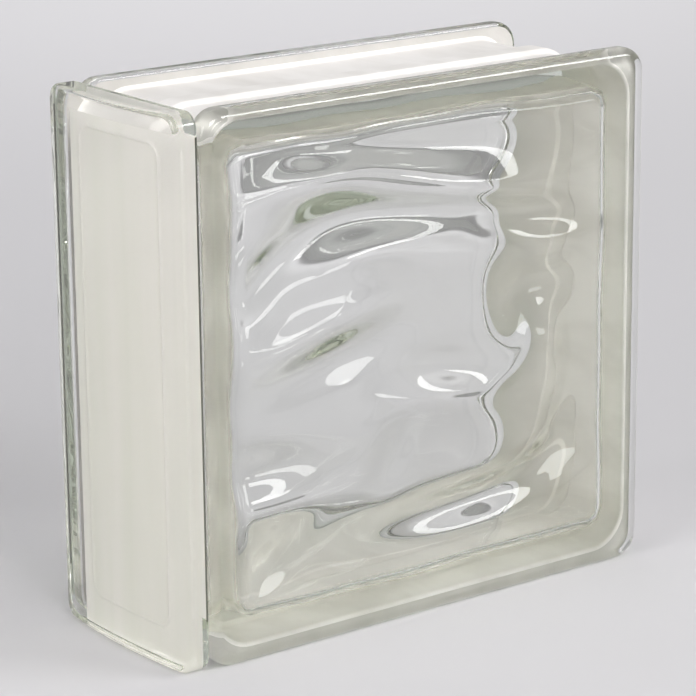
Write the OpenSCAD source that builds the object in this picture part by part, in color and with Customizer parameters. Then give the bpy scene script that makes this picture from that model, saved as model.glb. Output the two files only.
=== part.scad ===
// Hollow glass block with a finishing plate on one end.
// The front face looks along -Y, the finished end along -X, and the block stands on its lower rims.
// The origin is at the middle of the footprint, on the floor. Sizes are in millimetres.

/* [Faces] */
// Width and height of the front and back faces
face_size = 190; // [150:1:240]
// Depth from the front face to the back face
block_depth = 80; // [60:1:100]
// Radius of the faces' corners
face_corner_r = 9; // [6:0.5:14]
// Thickness of the rim round each face
rim_t = 8; // [6.5:0.5:10]
// Rounding of a rim's outer edge
rim_round = 4; // [2:0.5:4.5]
// Rounding of a rim's edge beside the mortar channel
rim_inner_round = 1.5; // [0.5:0.5:2]

/* [Mortar channel] */
// Depth of the channel below the rims
channel_depth = 5.5; // [4:0.5:8]
// Corner radius of the channel floor
channel_corner_r = 13; // [10:1:30]
// Width of the fused seam that runs along the channel
seam_w = 10; // [6:0.5:16]
// Height of the fused seam above the channel floor
seam_h = 1.8; // [0.8:0.1:3]

/* [Cavity] */
// Border between a face's edge and the cavity
window_margin = 13; // [12:0.5:22]
// Glass thickness where a wavy face has no swell
pane_t = 8; // [5.5:0.5:9]
// Corner radius of a wavy face
wavy_corner_r = 1; // [0.5:0.5:6]
// Fillet between a wavy face and the cavity's sides
cavity_fillet = 6; // [2:0.5:8]
// How much wider the cavity gets on each side from a face to the seam
cavity_draft = 1.5; // [0:0.1:2.5]

/* [Waves] */
// Height of a full swell inside a face
wave_height = 5; // [0.5:0.5:6]
// Cells along each side of a wavy face
wave_cells = 44; // [24:2:46]

/* [Finishing plate] */
// Thickness of the plate along its edges
plate_edge_t = 9; // [7:0.5:12]
// Height of the crown across the plate's outer face
plate_crown = 3; // [0.5:0.5:5]
// Distance of the plate's sides behind the front and back faces
plate_setback = 1.5; // [0:0.5:4]
// Corner radius of the plate's outline
plate_corner_r = 6; // [5:0.5:12]
// Rounding of the plate's outer edge
plate_round = 2; // [1:0.5:4.5]
// Rounding of the plate's inner edge
plate_inner_round = 1.5; // [0.5:0.5:2]
// Width of the bonding pad that stands in the channel
pad_w = 43; // [20:1:56]
// Border between the plate's ends and the pad
pad_margin = 13; // [10:0.5:30]
// Corner radius of the pad
pad_corner_r = 5; // [2:0.5:10]

/* [Hidden] */

// Places along X, with the plate's crown at the left and the block's rims at the right
overall_l = face_size + plate_edge_t + plate_crown;
plate_crown_x = -overall_l / 2;
block_left_x = plate_crown_x + plate_crown + plate_edge_t;
block_mid_x = block_left_x + face_size / 2;
mid_z = face_size / 2;

// Channel floor, window and cavity, measured from the middle of the faces
floor_size = face_size - 2 * channel_depth;
window_half = face_size / 2 - window_margin;
wavy_half = window_half - cavity_fillet;
wavy_core = wavy_half - wavy_corner_r;
pane_y = block_depth / 2 - pane_t;
fillet_steps = 3;

// Finishing plate
plate_half_y = block_depth / 2 - plate_setback;
crown_r = (plate_half_y ^ 2 + plate_crown ^ 2) / (2 * plate_crown);
crown_stations = 10;
corner_steps = 6;
pad_lap = 2;

// Facets on rounded edges
edge_facets = 32;

// Swells of the wavy faces: place across and up the window, half length and half width
// as shares of half the window, turn in degrees, bow to one side, and share of the full height
swells = [
    [0.10, 0.88, 0.55, 0.12, -5, 0, 0.78],
    [-0.62, 0.92, 0.15, 0.07, -15, 0, 0.28],
    [-0.58, 0.80, 0.42, 0.09, 2, -0.04, -0.50],
    [0.22, 0.65, 0.42, 0.07, -8, 0, -0.40],
    [-0.54, 0.58, 0.36, 0.11, 13, -0.07, 0.66],
    [-0.10, 0.60, 0.45, 0.09, -4, 0, 0.46],
    [-0.50, 0.42, 0.40, 0.10, 15, -0.05, -0.36],
    [-0.68, 0.33, 0.22, 0.12, 40, 0, 0.36],
    [-0.88, 0.38, 0.16, 0.09, 45, 0, 0.28],
    [-0.90, 0.60, 0.16, 0.10, 45, 0, -0.16],
    [-0.52, 0.02, 0.45, 0.09, 13, 0, 0.42],
    [-0.50, -0.12, 0.45, 0.14, 10, 0, 0.22],
    [-0.50, 0.20, 0.40, 0.09, 13, 0, -0.36],
    [0.14, -0.09, 0.30, 0.08, -12, 0, 0.42],
    [0.10, -0.25, 0.32, 0.08, -8, 0, -0.30],
    [0.60, 0.50, 0.28, 0.08, -10, 0, 0.40],
    [0.60, 0.35, 0.30, 0.08, 0, 0, -0.30],
    [0.63, 0.18, 0.20, 0.08, 4, 0, 0.30],
    [0.63, 0.05, 0.22, 0.12, 4, 0, 0.26],
    [0.48, 0.22, 0.16, 0.13, 80, 0, 0.28],
    [0.64, -0.04, 0.16, 0.12, 95, 0, -0.50],
    [0.74, -0.44, 0.22, 0.10, 60, 0, 0.30],
    [-0.92, -0.37, 0.32, 0.09, 4, 0, 0.42],
    [-0.90, -0.54, 0.35, 0.08, 0, 0, -0.30],
    [0.20, -0.71, 0.45, 0.08, 2, 0, 0.55],
    [0.20, -0.88, 0.50, 0.08, 2, 0, -0.25],
    [0.65, -0.60, 0.30, 0.08, 12, 0, 0.34],
    [-0.20, -0.45, 0.14, 0.10, 60, 0, 0.25],
    [-0.84, -0.79, 0.18, 0.10, 30, 0, 0.36],
];

function swell(s, u, v) =
    let (
        du = u - s[0],
        dv = v - s[1],
        along = (du * cos(s[4]) + dv * sin(s[4])) / s[2],
        across = (dv * cos(s[4]) - du * sin(s[4]) - s[5] * along ^ 2) / s[3]
    )
    s[6] * exp(-along ^ 2 - across ^ 2);

// Height of the swells at a place on the window, u across and v up, each from -1 to 1
function wave(u, v) = wave_height * sum_of([for (s = swells) swell(s, u, v)]);

function sum_of(list, i = 0) = i < len(list) ? list[i] + sum_of(list, i + 1) : 0;

// Profile of a round corner of a rim, from its axis outwards, with the outer edge at height 0
function rim_profile(r) = concat(
    [[0, 0]],
    [for (a = [90 : -15 : 0]) [
        r - rim_round + rim_round * cos(a),
        rim_round - rim_round * sin(a)
    ]],
    [for (a = [0 : -30 : -90]) [
        r - rim_inner_round + rim_inner_round * cos(a),
        rim_t - rim_inner_round - rim_inner_round * sin(a)
    ]],
    [[0, rim_t]]
);

module at_corners(inset) {
    for (x = [-1, 1], z = [-1, 1])
        translate([x * (face_size / 2 - inset), 0, z * (face_size / 2 - inset)])
            children();
}

// Rim and pane of the front half, with its face at -Y
module face_plate() {
    translate([0, -block_depth / 2, 0])
        hull()
            at_corners(face_corner_r)
                rotate([-90, 0, 0])
                    rotate_extrude($fn = edge_facets)
                        polygon(rim_profile(face_corner_r));
}

// Square with round corners, standing across Y and centred on the axis
module rounded_square(size, r) {
    square([size - 2 * r, size], center = true);
    square([size, size - 2 * r], center = true);
    for (x = [-1, 1], y = [-1, 1])
        translate([x * (size / 2 - r), y * (size / 2 - r)])
            circle(r, $fn = 64);
}

module across_depth(depth) {
    rotate([90, 0, 0])
        linear_extrude(depth, center = true)
            children();
}

// Seam that the fused halves leave along the channel, dressed flat where the plate is bonded
module seam() {
    intersection() {
        across_depth(seam_w)
            rounded_square(floor_size + 2 * seam_h, channel_corner_r + seam_h);
        translate([-floor_size / 2, -block_depth, -face_size])
            cube([2 * face_size, 2 * block_depth, 2 * face_size]);
    }
}

// Spot on a wavy face, as [x, z], for a place on a square grid whose corners are drawn in
function wavy_spot(u, v) =
    let (
        a = max(0, abs(u) * wavy_half - wavy_core) / wavy_corner_r,
        b = max(0, abs(v) * wavy_half - wavy_core) / wavy_corner_r
    )
    a * b == 0 ? [u * wavy_half, v * wavy_half] : [
        sign(u) * (wavy_core + wavy_corner_r * a * sqrt(1 - b ^ 2 / 2)),
        sign(v) * (wavy_core + wavy_corner_r * b * sqrt(1 - a ^ 2 / 2))
    ];

// A wavy face's edge spot moved straight out from the face
function outside(spot, gap) =
    [for (c = spot) c + gap * (c - sign(c) * min(abs(c), wavy_core)) / wavy_corner_r];

// One half of the cavity: its wavy face, then the rings of the fillet round it.
// The rear half comes from the same mould, turned about the upright axis.
function cavity_half(spots, edge, side) =
    let (heights = [for (s = spots) wave(-side * s[0] / window_half, s[1] / window_half)])
    concat(
        [for (i = [0 : len(spots) - 1]) [spots[i][0], side * (pane_y - heights[i]), spots[i][1]]],
        [for (k = [1 : fillet_steps], i = edge)
            let (
                a = 90 * k / fillet_steps,
                ring_spot = outside(spots[i], cavity_fillet * sin(a)),
                ring_y = pane_y - cavity_fillet * (1 - cos(a)) - heights[i] * cos(a)
            )
            [ring_spot[0], side * ring_y, ring_spot[1]]]
    );

// Sealed space between the panes, widest at the seam
module cavity() {
    n = wave_cells;
    row = n + 1;
    steps = [for (i = [0 : n]) -1 + 2 * i / n];
    spots = [for (v = steps, u = steps) wavy_spot(u, v)];
    edge = concat(
        [for (i = [0 : n - 1]) i],
        [for (j = [0 : n - 1]) n + j * row],
        [for (i = [n : -1 : 1]) i + n * row],
        [for (j = [n : -1 : 1]) j * row]
    );
    count = len(edge);
    front = cavity_half(spots, edge, -1);
    rear = cavity_half(spots, edge, 1);
    rear_start = len(front);
    waist_start = 2 * rear_start;
    waist = [for (i = edge)
        let (spot = outside(spots[i], cavity_fillet + cavity_draft)) [spot[0], 0, spot[1]]];
    front_rings = concat(
        [edge],
        [for (k = [0 : fillet_steps - 1]) [for (i = [0 : count - 1]) len(spots) + k * count + i]]
    );
    rings = concat(
        front_rings,
        [[for (i = [0 : count - 1]) waist_start + i]],
        [for (k = [fillet_steps : -1 : 0]) [for (i = front_rings[k]) rear_start + i]]
    );
    cells = [for (j = [0 : n - 1], i = [0 : n - 1]) i + j * row];
    polyhedron(
        points = concat(front, rear, waist),
        faces = concat(
            [for (c = cells) each [[c, c + row, c + row + 1], [c, c + row + 1, c + 1]]],
            [for (c = cells) let (r = c + rear_start)
                each [[r, r + 1, r + row + 1], [r, r + row + 1, r + row]]],
            [for (k = [0 : len(rings) - 2], i = [0 : count - 1])
                let (m = (i + 1) % count, near = rings[k], far = rings[k + 1])
                each [[near[i], near[m], far[m]], [near[i], far[m], far[i]]]]
        )
    );
}

// Two pressed halves fused into one hollow piece of glass
module glass_block() {
    color("#b9c2b4")
        translate([block_mid_x, 0, mid_z])
            difference() {
                union() {
                    face_plate();
                    mirror([0, 1, 0]) face_plate();
                    across_depth(block_depth - rim_t)
                        rounded_square(floor_size, channel_corner_r);
                    seam();
                }
                cavity();
            }
}

// Closed outline of the plate's side, inset by some distance, as [y, z] points from its middle.
// Each point on the upper half has a twin on the lower half, counted from the other end.
function plate_outline(inset) =
    let (
        half_y = plate_half_y - inset,
        half_z = face_size / 2 - inset,
        r = plate_corner_r - inset,
        arc = [for (i = [0 : corner_steps]) 90 * i / corner_steps],
        top = concat(
            [for (a = arc) [half_y - r + r * cos(a), half_z - r + r * sin(a)]],
            [for (i = [1 : crown_stations - 1]) [(half_y - r) * (1 - 2 * i / crown_stations), half_z]],
            [for (a = arc) [r - half_y - r * sin(a), half_z - r + r * cos(a)]]
        )
    )
    concat(top, [for (i = [len(top) - 1 : -1 : 0]) [top[i][0], -top[i][1]]]);

// Depth of the crowned outer face behind its highest line
function crown_drop(y) = crown_r - sqrt(crown_r ^ 2 - y ^ 2);

// Plate with a crowned outer face, lofted through outlines from that face to the inner one
module crowned_plate() {
    inner_x = plate_crown + plate_edge_t;
    outer_rings = [for (a = [90 : -15 : 0])
        [for (p = plate_outline(plate_round * (1 - cos(a))))
            [crown_drop(p[0]) + plate_round * (1 - sin(a)), p[0], p[1]]]];
    inner_rings = [for (a = [0 : 30 : 90])
        [for (p = plate_outline(plate_inner_round * (1 - cos(a))))
            [inner_x - plate_inner_round * (1 - sin(a)), p[0], p[1]]]];
    rings = concat(outer_rings, inner_rings);
    count = len(rings[0]);
    last = (len(rings) - 1) * count;
    strips = [for (k = [0 : count / 2 - 2]) [k, k + 1, count - 2 - k, count - 1 - k]];
    polyhedron(
        points = [for (ring = rings) each ring],
        faces = concat(
            strips,
            [for (s = strips) [for (i = [3 : -1 : 0]) s[i] + last]],
            [for (j = [0 : len(rings) - 2], k = [0 : count - 1])
                let (m = (k + 1) % count, near = j * count, far = near + count)
                each [[near + k, far + k, far + m], [near + k, far + m, near + m]]]
        )
    );
}

// Finishing plate, bonded to the block by a pad that stands in the channel
module end_plate() {
    color("#dcd9cf")
        translate([plate_crown_x, 0, mid_z]) {
            crowned_plate();
            translate([plate_crown + plate_edge_t - pad_lap, 0, 0])
                rotate([90, 0, 90])
                    linear_extrude(channel_depth + pad_lap)
                        pad_outline();
        }
}

module pad_outline() {
    pad_h = face_size - 2 * pad_margin;
    square([pad_w - 2 * pad_corner_r, pad_h], center = true);
    square([pad_w, pad_h - 2 * pad_corner_r], center = true);
    for (y = [-1, 1], z = [-1, 1])
        translate([y * (pad_w / 2 - pad_corner_r), z * (pad_h / 2 - pad_corner_r)])
            circle(pad_corner_r, $fn = 48);
}

glass_block();
end_plate();
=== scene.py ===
import math

import bmesh
import bpy
from mathutils import Matrix, Vector


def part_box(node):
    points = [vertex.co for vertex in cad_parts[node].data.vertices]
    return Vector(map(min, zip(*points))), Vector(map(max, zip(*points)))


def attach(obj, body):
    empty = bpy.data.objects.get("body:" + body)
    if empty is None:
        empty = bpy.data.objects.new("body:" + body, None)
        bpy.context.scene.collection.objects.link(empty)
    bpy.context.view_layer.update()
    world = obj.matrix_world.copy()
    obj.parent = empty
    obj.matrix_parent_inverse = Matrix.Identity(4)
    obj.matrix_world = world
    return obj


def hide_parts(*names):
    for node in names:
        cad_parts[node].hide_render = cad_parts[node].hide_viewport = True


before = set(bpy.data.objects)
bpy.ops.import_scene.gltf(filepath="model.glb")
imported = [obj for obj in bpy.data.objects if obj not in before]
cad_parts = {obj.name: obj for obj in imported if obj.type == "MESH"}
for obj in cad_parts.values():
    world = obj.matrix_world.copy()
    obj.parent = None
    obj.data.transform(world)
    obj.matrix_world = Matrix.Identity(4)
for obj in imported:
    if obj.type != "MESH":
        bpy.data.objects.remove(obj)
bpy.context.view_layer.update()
scene = bpy.context.scene
scene.view_settings.view_transform = "Standard"
mm = 0.001
print("frame loaded:", sorted(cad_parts))


# camera, fitted to the straight edges of the block
photoView = {
    "place": (-606, -810, 373),  # millimetres
    "azimuth": 36.7,             # degrees to the right of +Y
    "downTilt": 15.72,
    "roll": -0.59,
    "lens": 154.0,
    "sensor": 36.0,
    "clipStart": 0.01,
}


def addCamera():
    az = math.radians(photoView["azimuth"])
    down = math.radians(photoView["downTilt"])
    roll = math.radians(photoView["roll"])
    ahead = Vector((math.sin(az) * math.cos(down), math.cos(az) * math.cos(down), -math.sin(down)))
    level = Vector((math.cos(az), -math.sin(az), 0))
    upright = level.cross(ahead)
    right = math.cos(roll) * level + math.sin(roll) * upright
    up = math.cos(roll) * upright - math.sin(roll) * level
    data = bpy.data.cameras.new("camera")
    data.sensor_width = photoView["sensor"]
    data.lens = photoView["lens"]
    data.clip_start = photoView["clipStart"]
    camera = bpy.data.objects.new("camera", data)
    turn = Matrix((right, up, -ahead)).transposed().to_4x4()
    camera.matrix_world = Matrix.Translation(Vector(photoView["place"]) * mm) @ turn
    scene.collection.objects.link(camera)
    scene.camera = camera


addCamera()
print("camera placed")


# materials
def newMaterial(name):
    mat = bpy.data.materials.new(name)
    mat.use_nodes = True
    return mat, mat.node_tree.nodes, mat.node_tree.links, mat.node_tree.nodes["Principled BSDF"]


def objectCoords(nodes, links, scale=(1, 1, 1)):
    coords = nodes.new("ShaderNodeTexCoord")
    mapping = nodes.new("ShaderNodeMapping")
    mapping.inputs["Scale"].default_value = scale
    links.new(coords.outputs["Object"], mapping.inputs["Vector"])
    return mapping.outputs["Vector"]


def patchyColour(nodes, links, shader, finish, shades, stretch):
    # two shades mixed in soft patches
    patch = nodes.new("ShaderNodeTexNoise")
    patch.inputs["Scale"].default_value = finish["patchScale"]
    patch.inputs["Detail"].default_value = finish["patchDetail"]
    links.new(objectCoords(nodes, links, stretch), patch.inputs["Vector"])
    ramp = nodes.new("ShaderNodeValToRGB")
    for stop, place, shade in zip(ramp.color_ramp.elements, finish["patchEdges"], shades):
        stop.position = place
        stop.color = shade
    links.new(patch.outputs["Fac"], ramp.inputs["Fac"])
    links.new(ramp.outputs["Color"], shader.inputs["Base Color"])
    shader.inputs["Roughness"].default_value = finish["roughness"]


glassFinish = {
    "tint": (1, 1, 1, 1),
    "ior": 1.52,
    "absorbColour": (0.64, 0.71, 0.57, 1),
    "absorbDensity": 8.5,        # per metre
    "reamScale": 60.0,           # faint unevenness that pressing leaves
    "reamDetail": 1.0,
    "reamDepth": 0.00003,
}


def pressedGlass(name):
    mat, nodes, links, shader = newMaterial(name)
    shader.inputs["Base Color"].default_value = glassFinish["tint"]
    shader.inputs["Roughness"].default_value = 0.0
    shader.inputs["IOR"].default_value = glassFinish["ior"]
    shader.inputs["Transmission Weight"].default_value = 1.0
    ream = nodes.new("ShaderNodeTexNoise")
    ream.inputs["Scale"].default_value = glassFinish["reamScale"]
    ream.inputs["Detail"].default_value = glassFinish["reamDetail"]
    links.new(objectCoords(nodes, links), ream.inputs["Vector"])
    bump = nodes.new("ShaderNodeBump")
    bump.inputs["Strength"].default_value = 1.0
    bump.inputs["Distance"].default_value = glassFinish["reamDepth"]
    links.new(ream.outputs["Fac"], bump.inputs["Height"])
    links.new(bump.outputs["Normal"], shader.inputs["Normal"])
    absorb = nodes.new("ShaderNodeVolumeAbsorption")
    absorb.inputs["Color"].default_value = glassFinish["absorbColour"]
    absorb.inputs["Density"].default_value = glassFinish["absorbDensity"]
    links.new(absorb.outputs["Volume"], nodes["Material Output"].inputs["Volume"])
    return mat


coatFinish = {
    "channelShades": ((0.84, 0.81, 0.78, 1), (0.985, 0.956, 0.935, 1)),  # thin and thick coat; their strong contrast is partly painted light, standing in for lamp reflections on the walls
    "plateShades": ((0.905, 0.885, 0.84, 1), (0.975, 0.93, 0.92, 1)),
    "rimShades": ((0.54, 0.525, 0.495, 1), (0.62, 0.60, 0.57, 1)),  # a darker grey coat on the rims' inner sides
    "channelStretch": (1, 0.3, 1),  # stretched into streaks along the block's depth: uneven coat and painted light streaks
    "plateStretch": (1, 1, 0.06),   # and up the plate
    "patchScale": 60.0,
    "patchDetail": 3.0,
    "patchEdges": (0.3, 0.65),
    "roughness": 0.6,
    "grainScale": 900.0,
    "grainDepth": 0.00008,
}


def edgeCoat(name, shades, stretch):
    mat, nodes, links, shader = newMaterial(name)
    patchyColour(nodes, links, shader, coatFinish, shades, stretch)
    grain = nodes.new("ShaderNodeTexNoise")
    grain.inputs["Scale"].default_value = coatFinish["grainScale"]
    links.new(objectCoords(nodes, links), grain.inputs["Vector"])
    bump = nodes.new("ShaderNodeBump")
    bump.inputs["Distance"].default_value = coatFinish["grainDepth"]
    links.new(grain.outputs["Fac"], bump.inputs["Height"])
    links.new(bump.outputs["Normal"], shader.inputs["Normal"])
    return mat


# a near-black strip in the slit between the plate and the block: painted shade of the gap
slitShadeFinish = {
    "shades": ((0.05, 0.05, 0.04, 1), (0.16, 0.155, 0.125, 1)),
    "stretch": (1, 1, 0.2),
    "patchScale": 45.0,
    "patchDetail": 2.0,
    "patchEdges": (0.35, 0.7),
    "roughness": 0.5,
}


def paintedSlitShade(name):
    mat, nodes, links, shader = newMaterial(name)
    patchyColour(nodes, links, shader, slitShadeFinish, slitShadeFinish["shades"], slitShadeFinish["stretch"])
    return mat


blockGlass = pressedGlass("block glass")
plateGlass = pressedGlass("plate glass")
channelCoat = edgeCoat("white channel coat", coatFinish["channelShades"], coatFinish["channelStretch"])
plateCoat = edgeCoat("white plate coat", coatFinish["plateShades"], coatFinish["plateStretch"])
# darker grey coat for the rims' inner sides
rimCoat = edgeCoat("grey rim coat", coatFinish["rimShades"], coatFinish["channelStretch"])
# painted shade in the slit along the plate's upright edges
slitShade = paintedSlitShade("painted slit shade")
print("materials made")


# shells: a ring with round corners is made first, and the following rings are extruded from it
cornerSegments = 10
bare, coated = 0, 1              # places in a piece's list of materials
cutSnap = 0.000001
mergeGap = 0.00001


def roundRing(bm, place, half, radius):
    turn = Matrix(((1, 0, 0, 0), (0, 0, -1, 0), (0, 1, 0, 0), (0, 0, 0, 1)))
    sized = Matrix.Diagonal((half[0], 1, half[1], 1))
    made = bmesh.ops.create_grid(bm, x_segments=1, y_segments=1, size=1,
                                 matrix=Matrix.Translation(place) @ sized @ turn)
    bmesh.ops.bevel(bm, geom=made["verts"], offset=radius, offset_type="OFFSET", affect="VERTICES",
                    segments=cornerSegments, profile=0.5, material=-1, clamp_overlap=False)
    spots = {}
    for v in bm.verts:
        gap = v.co - place
        corner = Vector((math.copysign(1, gap.x), 0, math.copysign(1, gap.z)))
        core = Vector((corner.x * (half[0] - radius), 0, corner.z * (half[1] - radius)))
        spots[v] = (corner, (gap - core).normalized())
    return spots


def growShell(bm, outline):
    # each step is a ring's place, half sizes, corner radius and the finish of the band after it
    spots = roundRing(bm, *outline[0][:3])
    edges = bm.edges[:]
    for i, (place, half, radius, _) in enumerate(outline[1:]):
        grown = bmesh.ops.extrude_edge_only(bm, edges=edges)["geom"]
        edges = [g for g in grown if isinstance(g, bmesh.types.BMEdge) and g.is_boundary]
        following = {}
        for v in (g for g in grown if isinstance(g, bmesh.types.BMVert)):
            source = next(e.other_vert(v) for e in v.link_edges if e.other_vert(v) in spots)
            corner, out = spots[source]
            following[v] = (corner, out)
            core = Vector((corner.x * (half[0] - radius), 0, corner.z * (half[1] - radius)))
            v.co = place + core + out * radius
        for face in (g for g in grown if isinstance(g, bmesh.types.BMFace)):
            face.material_index = outline[i][3]
        spots = following
    cap = bmesh.ops.contextual_create(bm, geom=edges)["faces"][0]
    cap.material_index = outline[-1][3]
    bmesh.ops.recalc_face_normals(bm, faces=bm.faces)
    for face in bm.faces:
        face.smooth = True


def arcSteps(count):
    return [math.radians(90 * i / count) for i in range(count + 1)]


def joinInto(bm, other):
    mesh = bpy.data.meshes.new("joined")
    other.to_mesh(mesh)
    other.free()
    bm.from_mesh(mesh)
    bpy.data.meshes.remove(mesh)


def finishPiece(bm, name, node, materials):
    mesh = bpy.data.meshes.new(name)
    bm.to_mesh(mesh)
    bm.free()
    for mat in materials:
        mesh.materials.append(mat)
    piece = bpy.data.objects.new(name, mesh)
    scene.collection.objects.link(piece)
    weighted = piece.modifiers.new("even normals", "WEIGHTED_NORMAL")
    weighted.mode = "FACE_AREA"
    weighted.weight = 100
    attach(piece, "root")
    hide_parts(node)
    print(name, "made:", len(mesh.polygons), "faces")


# glass block: rims, mortar channel and seam outside, waves inside
blockLow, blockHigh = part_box("glass_block")
greyRimCoated = 2                   # the rims' inner sides, with the darker grey coat
blockForm = {
    "rimThick": 8 * mm,
    "rimRound": 4 * mm,
    "rimInnerRound": 1.5 * mm,
    "cornerRadius": 9 * mm,
    "channelDepth": 5.5 * mm,
    "channelCorner": 13 * mm,
    "channelFillet": 1.5 * mm,
    "seamHalf": 5 * mm,
    "seamHeight": 1.8 * mm,
    "seamSlope": 1.2 * mm,
    "windowMargin": 13 * mm,
    "windowCorner": 7 * mm,
    "windowFillet": 6 * mm,
    "paneThick": 8 * mm,
    "cavityDraft": 1.5 * mm,
    "wallUneven": 0.4 * mm,      # slight waviness of the cavity's walls
    "wallBends": (4.6, 10.3),
    "quickShare": 0.7,
    "waveCells": 150,
    "rimSteps": 6,               # steps of each rounded stretch
    "rimInnerSteps": 3,
    "channelSteps": 4,
    "seamSteps": 6,
    "windowSteps": 8,
}
# swells: across, up, half length, half width as shares of half the window, turn, bow, height share
waveForm = {
    "height": 5.0 * mm,
    "swells": [
        (0.10, 0.88, 0.55, 0.12, -5, 0, 0.78),  # top ridge and the trough under it
        (-0.62, 0.92, 0.15, 0.07, -15, 0, 0.28),
        (-0.58, 0.80, 0.42, 0.09, 2, -0.04, -0.50),
        (0.22, 0.65, 0.42, 0.07, -8, 0, -0.40),
        (-0.54, 0.58, 0.36, 0.11, 13, -0.07, 0.66),  # arch and its trough
        (-0.10, 0.60, 0.45, 0.09, -4, 0, 0.46),
        (-0.50, 0.42, 0.40, 0.10, 15, -0.05, -0.36),
        (-0.68, 0.33, 0.22, 0.12, 40, 0, 0.36),
        (-0.88, 0.38, 0.16, 0.09, 45, 0, 0.28),
        (-0.90, 0.60, 0.16, 0.10, 45, 0, -0.16),
        (-0.52, 0.02, 0.45, 0.09, 13, 0, 0.42),  # left, middle and right ridges
        (-0.50, -0.12, 0.45, 0.14, 10, 0, 0.22),
        (-0.50, 0.20, 0.40, 0.09, 13, 0, -0.36),
        (0.14, -0.09, 0.30, 0.08, -12, 0, 0.42),
        (0.10, -0.25, 0.32, 0.08, -8, 0, -0.30),
        (0.60, 0.50, 0.28, 0.08, -10, 0, 0.40),
        (0.60, 0.35, 0.30, 0.08, 0, 0, -0.30),
        (0.63, 0.18, 0.20, 0.08, 4, 0, 0.30),
        (0.63, 0.05, 0.22, 0.12, 4, 0, 0.26),
        (0.48, 0.22, 0.16, 0.13, 80, 0, 0.28),
        (0.64, -0.04, 0.16, 0.12, 95, 0, -0.50),
        (0.74, -0.44, 0.22, 0.10, 60, 0, 0.30),
        (-0.92, -0.37, 0.32, 0.09, 4, 0, 0.42),  # low ridges
        (-0.90, -0.54, 0.35, 0.08, 0, 0, -0.30),
        (0.20, -0.71, 0.45, 0.08, 2, 0, 0.55),
        (0.20, -0.88, 0.50, 0.08, 2, 0, -0.25),
        (0.65, -0.60, 0.30, 0.08, 12, 0, 0.34),
        (-0.20, -0.45, 0.14, 0.10, 60, 0, 0.25),
        (-0.84, -0.79, 0.18, 0.10, 30, 0, 0.36),
    ],
}
faceHalf = (blockHigh.z - blockLow.z) / 2
depthHalf = (blockHigh.y - blockLow.y) / 2
blockMiddle = (blockLow + blockHigh) / 2
windowHalf = faceHalf - blockForm["windowMargin"]


def waveHeight(u, v):
    total = 0
    for across, up, length, width, turn, bow, share in waveForm["swells"]:
        c = math.cos(math.radians(turn))
        s = math.sin(math.radians(turn))
        along = ((u - across) * c + (v - up) * s) / length
        side = ((v - up) * c - (u - across) * s - bow * along * along) / width
        total += share * math.exp(-along * along - side * side)
    return waveForm["height"] * total


def blockOutline():
    # one half's outline as inset, corner radius, depth behind the face and finish of the band after it
    f = blockForm
    steps = []
    for a in arcSteps(f["rimSteps"]):
        inset = f["rimRound"] * (1 - math.sin(a))
        steps.append((inset, f["cornerRadius"] - inset, f["rimRound"] * (1 - math.cos(a)), bare))
    for a in arcSteps(f["rimInnerSteps"]):
        inset = f["rimInnerRound"] * (1 - math.cos(a))
        behind = f["rimThick"] - f["rimInnerRound"] * (1 - math.sin(a))
        steps.append((inset, f["cornerRadius"] - inset, behind, bare))
    steps[-1] = steps[-1][:3] + (greyRimCoated,)
    for a in arcSteps(f["channelSteps"]):
        inset = f["channelDepth"] - f["channelFillet"] * (1 - math.sin(a))
        behind = f["rimThick"] + f["channelFillet"] * (1 - math.cos(a))
        steps.append((inset, f["channelCorner"] + f["channelDepth"] - inset, behind, coated))
    for i in range(f["seamSteps"] + 1):
        t = i / f["seamSteps"]
        lift = f["seamHeight"] * t * t * (3 - 2 * t)
        behind = depthHalf - f["seamHalf"] + f["seamSlope"] * (2 * t - 1)
        steps.append((f["channelDepth"] - lift, f["channelCorner"] + lift, behind, coated))
    return steps


def makeBlockShell(bm):
    steps = blockOutline()
    # the back half meets each band from its other side
    bandsBefore = [bare] + [step[3] for step in steps[:-1]]
    outline = []
    for inset, radius, behind, finish in steps:
        place = Vector((blockMiddle.x, behind - depthHalf, blockMiddle.z))
        outline.append((place, (faceHalf - inset, faceHalf - inset), radius, finish))
    for (place, half, radius, _), finish in zip(outline[::-1], bandsBefore[::-1]):
        outline.append((Vector((place.x, -place.y, place.z)), half, radius, finish))
    growShell(bm, outline)
    floorLeft = blockLow.x + blockForm["channelDepth"]
    for v in bm.verts:
        if abs(v.co.y) < depthHalf / 2:  # the seam is dressed flat behind the finishing plate
            v.co.x = max(v.co.x, floorLeft)


def wallUneven(along):
    slow, quick = blockForm["wallBends"]
    bends = math.sin(slow * along + 1) + blockForm["quickShare"] * math.sin(quick * along)
    return blockForm["wallUneven"] * bends


def windowPlace(u, v, half, corner):
    # a square grid place moved to a square with round corners
    core = half - corner
    x = u * half
    z = v * half
    a = max(0, abs(x) - core) / corner
    b = max(0, abs(z) - core) / corner
    if a > 0 and b > 0:
        x = math.copysign(core + corner * a * math.sqrt(1 - b * b / 2), x)
        z = math.copysign(core + corner * b * math.sqrt(1 - a * a / 2), z)
    return x, z


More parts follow.
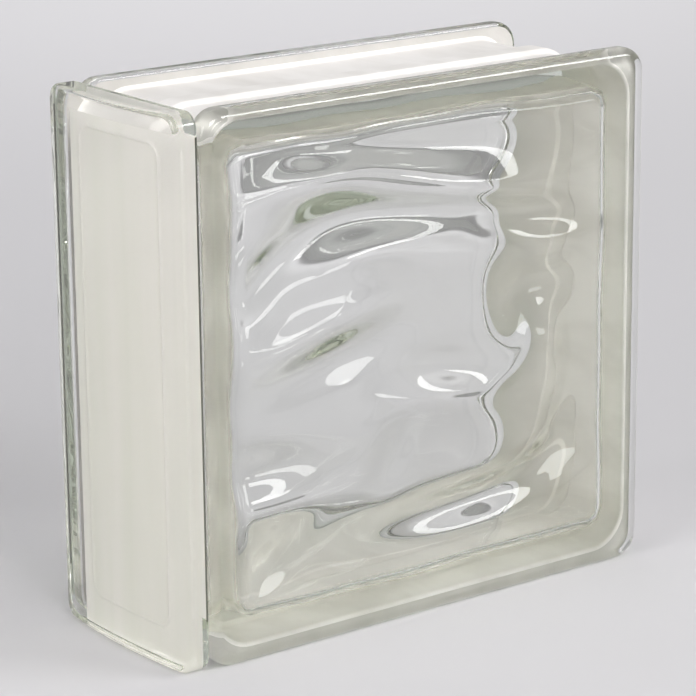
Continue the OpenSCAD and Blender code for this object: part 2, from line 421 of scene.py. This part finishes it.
def makeCavityHalf(bm, side):
    f = blockForm
    fillet = f["windowFillet"]
    baseHalf = windowHalf - fillet
    baseCorner = f["windowCorner"] - fillet
    made = bmesh.ops.create_grid(bm, x_segments=f["waveCells"], y_segments=f["waveCells"], size=1)
    paneY = depthHalf - f["paneThick"]
    edges = list({e for v in made["verts"] for e in v.link_edges if e.is_boundary})
    for v in made["verts"]:
        x, z = windowPlace(v.co.x, v.co.y, baseHalf, baseCorner)
        wave = waveHeight(-side * x / windowHalf, z / windowHalf)
        v.co = Vector((x, side * (paneY - wave), z))
    core = baseHalf - baseCorner
    outward = {}
    for v in {v for e in edges for v in e.verts}:
        base = Vector((v.co.x, 0, v.co.z))
        inner = Vector((max(-core, min(core, v.co.x)), 0, max(-core, min(core, v.co.z))))
        outward[v] = (base, (base - inner).normalized(), paneY - side * v.co.y)
    # each step is how far it spreads and rises, and its shares of the waves and the walls' unevenness
    steps = []
    for a in arcSteps(f["windowSteps"])[1:]:
        steps.append((fillet * math.sin(a), fillet * (1 - math.cos(a)), math.cos(a), math.sin(a)))
    steps.append((fillet + f["cavityDraft"], paneY, 0, 0))
    for spread, rise, waveShare, unevenShare in steps:
        grown = bmesh.ops.extrude_edge_only(bm, edges=edges)["geom"]
        edges = [g for g in grown if isinstance(g, bmesh.types.BMEdge)]
        following = {}
        for v in (g for g in grown if isinstance(g, bmesh.types.BMVert)):
            source = next(e.other_vert(v) for e in v.link_edges if e.other_vert(v) in outward)
            base, direction, wave = outward[source]
            following[v] = (base, direction, wave)
            uneven = unevenShare * wallUneven((base.x + base.z) / baseHalf)
            v.co = base + direction * (spread + uneven)
            v.co.y = side * (paneY - rise - wave * waveShare)
        outward = following


def makeCavity(bm):
    makeCavityHalf(bm, -1)
    makeCavityHalf(bm, 1)
    bmesh.ops.remove_doubles(bm, verts=bm.verts, dist=mergeGap)
    bmesh.ops.recalc_face_normals(bm, faces=bm.faces)
    bmesh.ops.reverse_faces(bm, faces=bm.faces)  # the glass lies outside the cavity
    bmesh.ops.translate(bm, verts=bm.verts, vec=(blockMiddle.x, 0, blockMiddle.z))
    for face in bm.faces:
        face.smooth = True


def makeBlock():
    bm = bmesh.new()
    makeBlockShell(bm)
    hollow = bmesh.new()
    makeCavity(hollow)
    joinInto(bm, hollow)
    finishPiece(bm, "glass_block_body", "glass_block", [blockGlass, channelCoat, rimCoat])


makeBlock()


# finishing plate: crowned outside, with a white-coated pad in the channel
plateLow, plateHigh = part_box("end_plate")
slitShaded = 2                       # the slit along the upright edges, darkened with painted shade
plateForm = {
    "edgeThick": 9 * mm,
    "crown": 3 * mm,
    "round": 2 * mm,
    "innerRound": 1.5 * mm,
    "cornerRadius": 6 * mm,
    "padHalf": 21.5 * mm,
    "padMargin": 13 * mm,
    "padCorner": 5 * mm,
    "beadWidth": 1.6 * mm,       # bead of bond squeezed out round the pad
    "beadHeight": 0.5 * mm,
    "coatFront": -37 * mm,       # edges of the coat on the inner face
    "coatRear": 28 * mm,
    "coatTop": 8 * mm,           # bare strip at the upper end
    "bareCorner": (-30 * mm, 18 * mm),  # bare place at the lower front corner
    "bondLine": 0.2 * mm,        # room for the bond between the plate and the block
    "coatFilm": 0.02 * mm,
    "slitEnd": 18 * mm,          # the slit's painted shade stops short of the ends
    "coatFacing": 0.5,           # how far faces look inwards or sideways to take coat or painted slit shade
    "slitFacing": 0.3,
    "crownSlices": 48,
    "roundSteps": 6,             # steps of each rounded stretch
    "innerSteps": 3,
    "beadSteps": 4,
}


def plateOutline():
    f = plateForm
    halfY = (plateHigh.y - plateLow.y) / 2
    halfZ = (plateHigh.z - plateLow.z) / 2
    thick = f["edgeThick"] - f["bondLine"]
    steps = []
    for a in arcSteps(f["roundSteps"]):
        inset = f["round"] * (1 - math.sin(a))
        behind = f["round"] * (1 - math.cos(a))
        steps.append(((halfY - inset, halfZ - inset), f["cornerRadius"] - inset, behind))
    for a in arcSteps(f["innerSteps"]):
        inset = f["innerRound"] * (1 - math.cos(a))
        behind = thick - f["innerRound"] * (1 - math.sin(a))
        steps.append(((halfY - inset, halfZ - inset), f["cornerRadius"] - inset, behind))
    for i in range(f["beadSteps"] + 1):
        t = i / f["beadSteps"]
        gap = f["beadWidth"] * (1 - t)
        raised = f["beadHeight"] * math.sin(math.pi * t)
        half = (f["padHalf"] + gap, halfZ - f["padMargin"] + gap)
        steps.append((half, f["padCorner"] + gap, thick - raised))
    return [(Vector((0, behind, 0)), half, radius, bare) for half, radius, behind in steps]


def padOutline():
    f = plateForm
    half = (f["padHalf"], (plateHigh.z - plateLow.z) / 2 - f["padMargin"])
    near = f["edgeThick"] - f["bondLine"] + f["coatFilm"]
    far = plateHigh.x - plateLow.x - f["crown"] - f["bondLine"]
    return [(Vector((0, depth, 0)), half, f["padCorner"], coated) for depth in (near, far)]


def makePlate():
    f = plateForm
    bm = bmesh.new()
    growShell(bm, plateOutline())
    pad = bmesh.new()
    growShell(pad, padOutline())
    for face in pad.faces:
        face.material_index = coated
    joinInto(bm, pad)
    # laid flat so far: stand it across X
    bmesh.ops.rotate(bm, verts=bm.verts, cent=(0, 0, 0),
                     matrix=Matrix.Rotation(math.radians(-90), 3, "Z"))
    halfY = (plateHigh.y - plateLow.y) / 2
    slices = [halfY * (2 * i / f["crownSlices"] - 1) for i in range(1, f["crownSlices"])]
    halfZ = (plateHigh.z - plateLow.z) / 2
    bareY, bareHeight = f["bareCorner"]
    coatTop = halfZ - f["coatTop"]
    bareTop = bareHeight - halfZ
    cuts = [((0, y, 0), (0, 1, 0)) for y in slices + [f["coatFront"], f["coatRear"], bareY]]
    cuts += [((0, 0, z), (0, 0, 1)) for z in (coatTop, bareTop)]
    for place, across in cuts:
        bmesh.ops.bisect_plane(bm, geom=bm.verts[:] + bm.edges[:] + bm.faces[:], dist=cutSnap,
                               plane_co=place, plane_no=across)
    innerStart = f["edgeThick"] - f["bondLine"] - f["beadHeight"]
    slitStart = f["edgeThick"] - f["bondLine"] - f["innerRound"]
    for face in bm.faces:
        spot = face.calc_center_median()
        inner = all(v.co.x > innerStart - f["coatFilm"] for v in face.verts)
        within = f["coatFront"] < spot.y < f["coatRear"] and spot.z < coatTop
        inCorner = spot.y < bareY and spot.z < bareTop
        inSlit = spot.x > slitStart and abs(spot.z) < halfZ - f["slitEnd"]
        if inner and face.normal.x > f["coatFacing"] and within and not inCorner:
            face.material_index = coated
        # faces in the slit take the near-black painted shade
        elif inSlit and abs(face.normal.y) > f["slitFacing"]:
            face.material_index = slitShaded
    crownRadius = (halfY ** 2 + f["crown"] ** 2) / (2 * f["crown"])
    for v in bm.verts:
        drop = crownRadius - math.sqrt(crownRadius ** 2 - v.co.y ** 2)
        keep = max(0, 1 - v.co.x / f["edgeThick"])
        v.co.x += f["crown"] - (f["crown"] - drop) * keep
    bmesh.ops.translate(bm, verts=bm.verts, vec=(plateLow.x, 0, (plateLow.z + plateHigh.z) / 2))
    for face in bm.faces:
        face.smooth = True
    finishPiece(bm, "end_plate_body", "end_plate", [plateGlass, plateCoat, slitShade])


makePlate()


# floor, world and lamps
stageForm = {
    "floorSize": 20.0,
    "floorGap": 0.0002,          # the floor lies just clear of the glass
    "floorColour": (0.68, 0.67, 0.69, 1),
    "floorRoughness": 0.8,
    "floorShine": 0.2,
    "sky": [(0.0, 0.29), (0.06, 0.31), (0.16, 0.44), (0.5, 0.46), (1.0, 0.24)],  # height and level
}


def makeFloor():
    bm = bmesh.new()
    bmesh.ops.create_grid(bm, x_segments=1, y_segments=1, size=stageForm["floorSize"] / 2,
                          matrix=Matrix.Translation((0, 0, -stageForm["floorGap"])))
    mesh = bpy.data.meshes.new("floor")
    bm.to_mesh(mesh)
    bm.free()
    mat, _, _, shader = newMaterial("pale floor")
    shader.inputs["Base Color"].default_value = stageForm["floorColour"]
    shader.inputs["Roughness"].default_value = stageForm["floorRoughness"]
    shader.inputs["Specular IOR Level"].default_value = stageForm["floorShine"]
    mesh.materials.append(mat)
    floor = bpy.data.objects.new("floor", mesh)
    scene.collection.objects.link(floor)


blockAim = (0, 0, 0.095)
lamps = [
    {"name": "key softbox", "direction": (0.55, -0.65, 0.49),
     "distance": 1.6, "size": (0.8, 0.25), "watts": 10},
    {"name": "back softbox", "direction": (-0.1, 0.72, 0.68),
     "distance": 1.6, "size": (0.8, 0.4), "watts": 0.6},
    {"name": "left fill", "direction": (-0.9, -0.15, 0.3),
     "distance": 1.6, "size": (1.0, 1.0), "watts": 12.5},
    {"name": "front fill", "direction": (-0.15, -0.82, 0.55),
     "distance": 1.6, "size": (0.7, 0.6), "watts": 9.5},
    {"name": "floor softbox", "direction": (0, 0, 1),
     "distance": 1.5, "size": (1.4, 1.0), "watts": 6, "aim": (0.95, 1.3, 0), "spread": 100},
    {"name": "low softbox", "direction": (0.30, -0.94, 0.10),
     "distance": 1.6, "size": (0.5, 0.3), "watts": 3},
]


def makeLamps():
    for lamp in lamps:
        data = bpy.data.lights.new(lamp["name"], "AREA")
        data.shape = "RECTANGLE"
        data.size, data.size_y = lamp["size"]
        data.energy = lamp["watts"]
        data.spread = math.radians(lamp.get("spread", 180))
        away = Vector(lamp["direction"]).normalized()
        lampObject = bpy.data.objects.new(lamp["name"], data)
        lampObject.location = Vector(lamp.get("aim", blockAim)) + away * lamp["distance"]
        lampObject.rotation_euler = away.to_track_quat("Z", "Y").to_euler()
        scene.collection.objects.link(lampObject)


def makeWorld():
    world = bpy.data.worlds.new("studio")
    scene.world = world
    world.use_nodes = True
    nodes = world.node_tree.nodes
    links = world.node_tree.links
    coords = nodes.new("ShaderNodeTexCoord")
    split = nodes.new("ShaderNodeSeparateXYZ")
    links.new(coords.outputs["Generated"], split.inputs["Vector"])
    ramp = nodes.new("ShaderNodeValToRGB")
    ramp.color_ramp.elements.remove(ramp.color_ramp.elements[1])
    for height, level in stageForm["sky"]:
        stop = ramp.color_ramp.elements[0] if height == 0 else ramp.color_ramp.elements.new(height)
        stop.color = (level, level, level, 1)
    links.new(split.outputs["Z"], ramp.inputs["Fac"])
    links.new(ramp.outputs["Color"], nodes["Background"].inputs["Color"])


makeFloor()
makeLamps()
makeWorld()
# light reaches the coats through several faces of glass
scene.cycles.blur_glossy = 0.0
scene.cycles.max_bounces = 32
scene.cycles.diffuse_bounces = 12
scene.cycles.glossy_bounces = 16
scene.cycles.transmission_bounces = 32
print("stage set")
